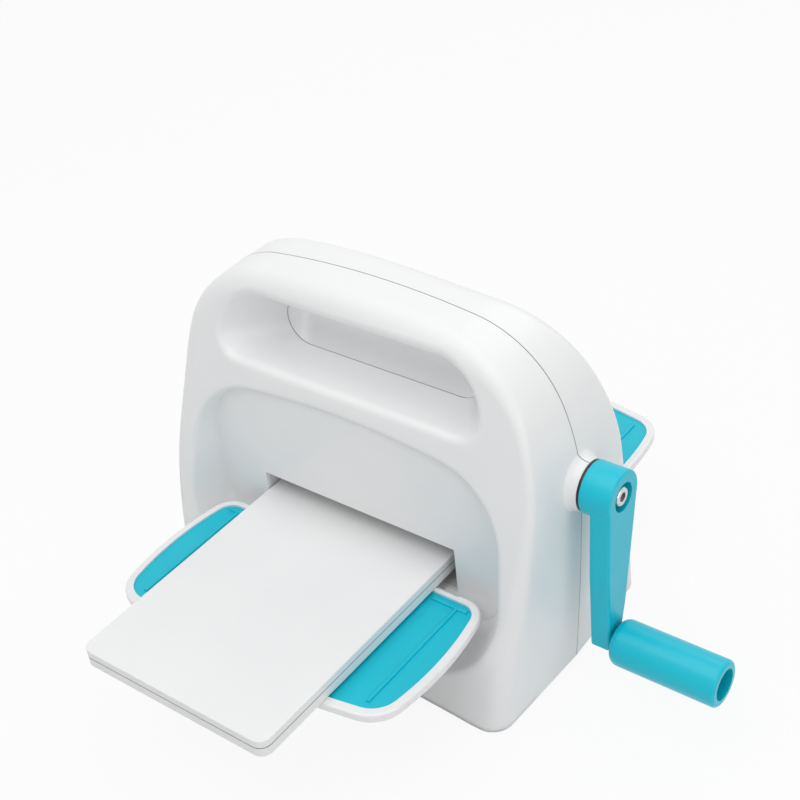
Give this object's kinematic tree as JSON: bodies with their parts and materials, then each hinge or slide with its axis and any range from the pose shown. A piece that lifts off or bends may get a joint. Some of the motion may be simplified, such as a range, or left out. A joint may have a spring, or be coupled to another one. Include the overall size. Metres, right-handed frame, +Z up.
{
  "type": "die cutting and embossing machine",
  "caption": "Hand cranked die cutting and embossing machine: arched housing with a carrying handle, fold-out trays, geared rollers, a plate sandwich and a side crank.",
  "frame": {"origin": "on the table, in the seam plane of the two shell halves, under the middle of the feed slot", "axes": "+X towards the crank side, +Y towards the back where the plates come out, +Z up"},
  "size_m": [0.4007, 0.4041, 0.2584],
  "materials": {
    "white_shell": "satin moulded ABS, slightly cool white",
    "turquoise": "satin moulded ABS, turquoise",
    "white_plate": "fine matt sheet plastic",
    "black_ring": "black nylon",
    "black_cover": "black moulded plastic",
    "roller_steel": "ground steel",
    "zinc_steel": "zinc plated pressed steel",
    "gear_steel": "sintered steel",
    "bronze": "oiled bronze",
    "bright_steel": "polished steel",
    "black_steel": "blackened steel",
    "rubber": "soft rubber"
  },
  "bodies": {
    "chassis": {"front_shell": "white_shell", "rear_shell": "white_shell", "front_tray": "white_shell", "front_tray_insert": "turquoise", "front_hinge_pins": "bright_steel", "rear_hinge_pins": "bright_steel", "left_frame": "zinc_steel", "right_frame": "zinc_steel", "tie_rods": "zinc_steel", "frame_screws": "black_steel", "roller_bushes": "bronze", "crank_shaft_bushes": "bronze", "base_cover": "black_cover", "base_screws": "black_steel", "rubber_feet": "rubber", "shell_screws": "black_steel"},
    "upper_roller_group": {"upper_roller": "roller_steel", "upper_sync_gear": "gear_steel", "roller_drive_gear": "gear_steel", "upper_roller_clips": "black_steel"},
    "lower_roller_group": {"lower_roller": "roller_steel", "lower_sync_gear": "gear_steel", "lower_roller_clip": "black_steel"},
    "crank_group": {"crank_shaft": "roller_steel", "crank_pinion": "gear_steel", "crank_shaft_clip": "black_steel", "crank_spacer": "black_ring", "crank_arm": "turquoise", "crank_screw": "bright_steel", "grip_spindle": "bright_steel"},
    "grip_group": {"grip": "turquoise"},
    "platform_group": {"platform_plate": "white_plate"},
    "cutting_plate_group": {"cutting_plate": "white_plate"},
    "rear_tray_group": {"rear_tray": "white_shell", "rear_tray_insert": "turquoise"}
  },
  "joints": [
    {"name": "upper_roller_spin", "type": "hinge", "parent": "chassis", "child": "upper_roller_group", "pos_m": [0, 0, 0.1037], "axis": [1, 0, 0], "continuous": true},
    {"name": "lower_roller_spin", "type": "hinge", "parent": "chassis", "child": "lower_roller_group", "pos_m": [0, 0, 0.0597], "axis": [1, 0, 0], "continuous": true},
    {"name": "crank_spin", "type": "hinge", "parent": "chassis", "child": "crank_group", "pos_m": [0.16, 0, 0.1537], "axis": [1, 0, 0], "continuous": true},
    {"name": "grip_spin", "type": "hinge", "parent": "crank_group", "child": "grip_group", "pos_m": [0.215, -0.0122, 0.0465], "axis": [1, 0, 0], "continuous": true},
    {"name": "platform_slide", "type": "slide", "parent": "chassis", "child": "platform_group", "axis": [0, 1, 0], "range_m": [0, 0.235]},
    {"name": "cutting_plate_slide", "type": "slide", "parent": "platform_group", "child": "cutting_plate_group", "axis": [0, 1, 0], "range_m": [-0.235, 0]},
    {"name": "rear_tray_fold", "type": "hinge", "parent": "chassis", "child": "rear_tray_group", "pos_m": [0, 0.0545, 0.0665], "axis": [-1, 0, 0], "range_deg": [-83, 0]}
  ],
  "couplings": [
    {"joint": "lower_roller_spin", "follows": "upper_roller_spin", "ratio": -1},
    {"joint": "crank_spin", "follows": "upper_roller_spin", "ratio": -2.3333}
  ]
}
